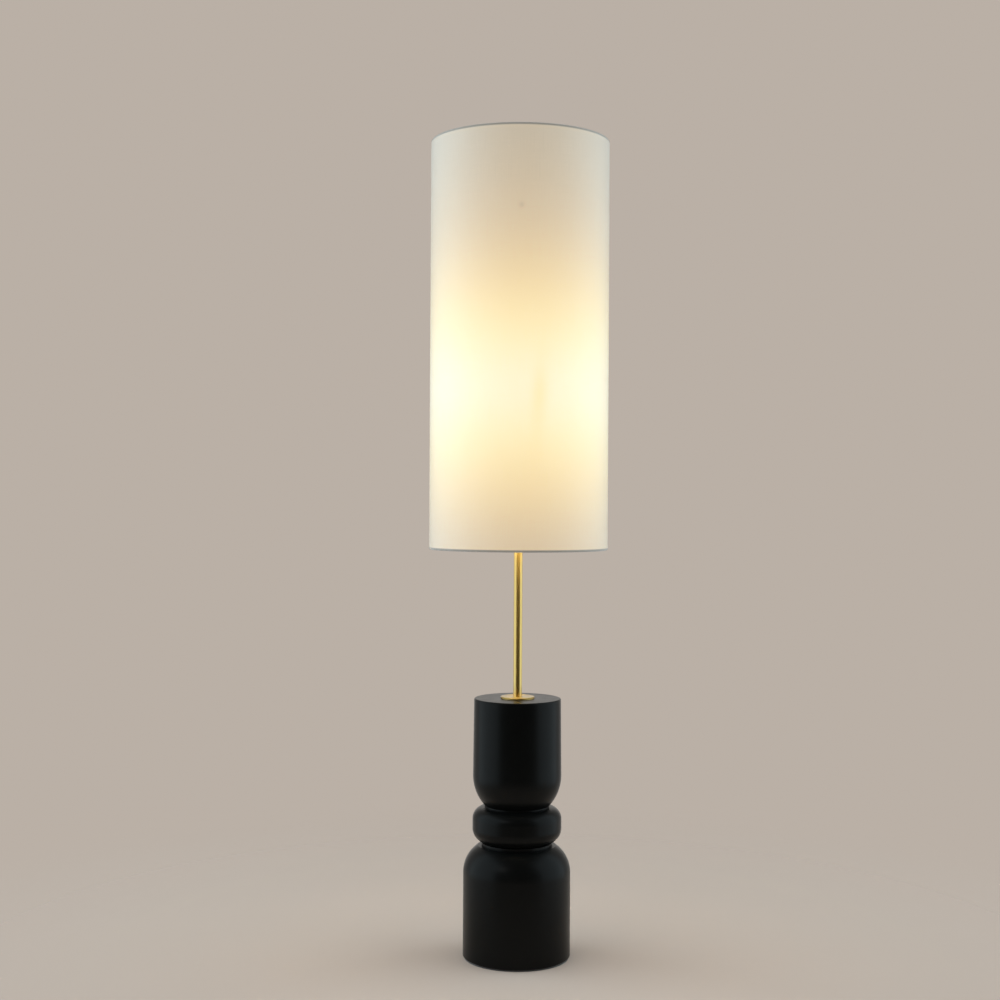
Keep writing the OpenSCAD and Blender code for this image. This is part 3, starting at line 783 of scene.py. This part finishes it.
def lay_floor():
    """A pale floor, solid from above only, that fades into the backdrop's tone."""
    finish, tree = new_finish("pale_floor")
    where = place_of(tree)
    cloud = noise(where, 3.0, 3.0)
    base = shade_of((0.508, 0.414, 0.372), 1.42 + 0.04 * cloud)
    plain = put(tree, "ShaderNodeBsdfDiffuse", {}, {"Color": base})
    clear = put(tree, "ShaderNodeBsdfTransparent")
    under = put(tree, "ShaderNodeNewGeometry").out("Backfacing")
    gone = from_axis(where).ramp(FLOOR_SOLID, FLOOR_GONE).math("MAXIMUM", under)
    sockets = {0: gone, 1: plain, 2: clear}
    both = put(tree, "ShaderNodeMixShader", {}, sockets)
    put(tree, "ShaderNodeOutputMaterial", {}, {"Surface": both})
    work = bmesh.new()
    bmesh.ops.create_circle(work, cap_ends=True, segments=64, radius=FLOOR_R)
    mesh = bpy.data.meshes.new("floor")
    work.to_mesh(mesh)
    work.free()
    mesh.materials.append(finish)
    floor = bpy.data.objects.new("floor", mesh)
    bpy.context.scene.collection.objects.link(floor)


def light_room():
    """Even light all round. Mirrored, the room is darker in front and above."""
    world = bpy.data.worlds.new("studio")
    bpy.context.scene.world = world
    world.use_nodes = True
    tree = world.node_tree
    tree.nodes.clear()
    _, y, z = split(put(tree, "ShaderNodeTexCoord").out("Generated"))
    level = 0.36 + 0.07 * z.ramp(-0.2, 0.9)
    lit = shade_of((1.0, 0.98, 0.87), level)
    room = put(tree, "ShaderNodeBackground", {}, {"Color": lit, "Strength": 1.0})
    sides = 0.27 * y.ramp(-0.80, -0.35)
    behind = 0.10 * y.ramp(0.2, 0.8) + 0.50 * y.ramp(0.86, 0.98)
    above = z.ramp(0.45, 0.9)
    dim = shade_of((1.0, 0.96, 0.91), (0.035 + sides + behind) * (1.0 - 0.6 * above))
    mirrored = put(tree, "ShaderNodeBackground", {}, {"Color": dim, "Strength": 1.0})
    seen = put(tree, "ShaderNodeBackground", {}, {"Color": rgb(*PALE), "Strength": 1.0})
    ray = put(tree, "ShaderNodeLightPath")
    sockets = {0: ray.out("Is Glossy Ray"), 1: room, 2: mirrored}
    both = put(tree, "ShaderNodeMixShader", {}, sockets)
    shown = ray.out("Is Camera Ray").math("MAXIMUM", ray.out("Is Transmission Ray"))
    all_rays = put(tree, "ShaderNodeMixShader", {}, {0: shown, 1: both, 2: seen})
    put(tree, "ShaderNodeOutputWorld", {}, {"Surface": all_rays})


def hang_light(name, place, aim, size, watts, colour, mirrored):
    lamp = bpy.data.lights.new(name, "AREA")
    lamp.shape = "RECTANGLE"
    lamp.size, lamp.size_y = size
    lamp.energy = watts
    lamp.color = colour
    holder = bpy.data.objects.new(name, lamp)
    bpy.context.scene.collection.objects.link(holder)
    holder.location = place
    holder.visible_glossy = mirrored
    holder.visible_camera = False
    away = [a - b for a, b in zip(place, aim)]
    holder.rotation_euler = Vector(away).to_track_quat("Z", "Y").to_euler()


def set_camera():
    """The photograph's view: level with the shade's lower part, 2.3 m away."""
    lens = bpy.data.cameras.new("camera")
    lens.lens = 56.1
    lens.sensor_width = 36.0
    camera = bpy.data.objects.new("camera", lens)
    bpy.context.scene.collection.objects.link(camera)
    lens.shift_y = -0.002
    camera.location = (0.0, -2.3, 0.676)
    roll, pan = math.radians(0.30), math.radians(0.684)
    camera.rotation_euler = Euler((math.pi / 2, 0.0, pan), "XYZ")
    camera.rotation_euler.rotate_axis("Z", roll)
    bpy.context.scene.camera = camera


bpy.context.scene.view_settings.view_transform = "Standard"
set_camera()
light_room()
lay_floor()
for lamp_name, lamp in LAMPS.items():
    hang_light(lamp_name, *lamp)
dress_shade()
dress_bulb()
dress_hardware()
